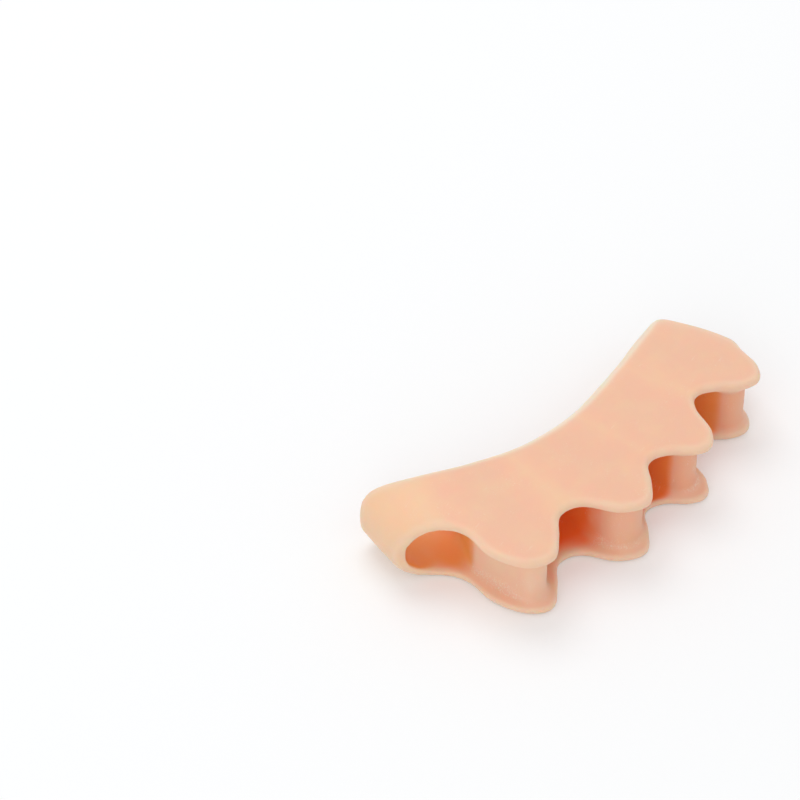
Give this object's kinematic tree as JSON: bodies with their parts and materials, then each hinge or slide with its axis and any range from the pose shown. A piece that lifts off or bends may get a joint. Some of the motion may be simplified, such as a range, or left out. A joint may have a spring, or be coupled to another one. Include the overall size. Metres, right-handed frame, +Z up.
{
  "type": "toe separator",
  "caption": "Soft silicone toe separator: two lobed sheets joined by waisted pillars and rounded end walls, with through openings that hold the toes of one foot apart.",
  "frame": {"origin": "centre of the bounding box in plan, on the underside of the lower sheet", "axes": "+X along the length from the wide end to the narrow end, -Y towards the lobed front edge, +Z up through both sheets"},
  "size_m": [0.092, 0.0564, 0.0172],
  "materials": {
    "silicone": "satin, soft and slightly translucent"
  },
  "bodies": {
    "root": {"toe_separator": "silicone"}
  },
  "joints": []
}
